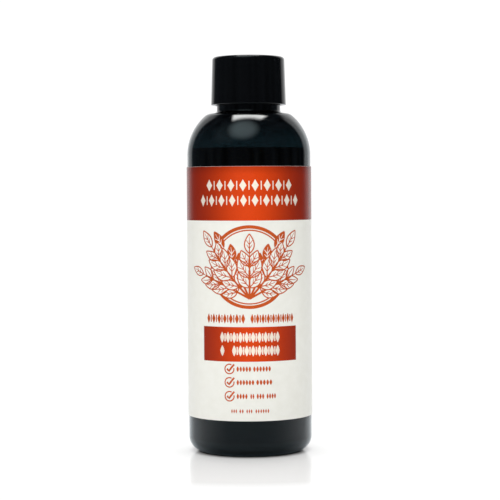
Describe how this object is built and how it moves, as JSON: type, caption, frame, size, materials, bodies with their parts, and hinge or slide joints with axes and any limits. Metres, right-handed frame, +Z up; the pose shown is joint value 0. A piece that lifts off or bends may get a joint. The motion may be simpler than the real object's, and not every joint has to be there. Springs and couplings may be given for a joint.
{
  "type": "aftershave bottle",
  "caption": "Round-shouldered plastic bottle with a smooth dark screw cap, foam liner, pouring plug, wrap-round label and liquid fill.",
  "frame": {"origin": "centre of the flat ring that the bottle stands on", "axes": "+Z up along the bottle's axis, -Y towards the front of the label, +X to the right of someone facing the label"},
  "size_m": [0.0382, 0.038, 0.1208],
  "materials": {
    "bottle_plastic": "gloss",
    "cap_plastic": "satin",
    "liner_foam": "matte",
    "reducer_plastic": "satin",
    "label_paper": "satin",
    "liquid": "polished"
  },
  "bodies": {
    "bottle": {"bottle": "bottle_plastic", "wrap_label": "label_paper", "orifice_reducer": "reducer_plastic", "aftershave_liquid": "liquid"},
    "liner_carrier": {"cap_liner": "liner_foam"},
    "cap": {"screw_cap": "cap_plastic"}
  },
  "joints": [
    {"name": "cap_lift", "type": "slide", "parent": "bottle", "child": "liner_carrier", "axis": [0, 0, 1], "range_m": [0, 0.01429]},
    {"name": "cap_turn", "type": "hinge", "parent": "liner_carrier", "child": "cap", "pos_m": [0, 0, 0.1061], "axis": [0, 0, 1], "range_deg": [0, 1620]}
  ],
  "couplings": [
    {"joint": "cap_turn", "follows": "cap_lift", "rad_per_m": 1979}
  ]
}
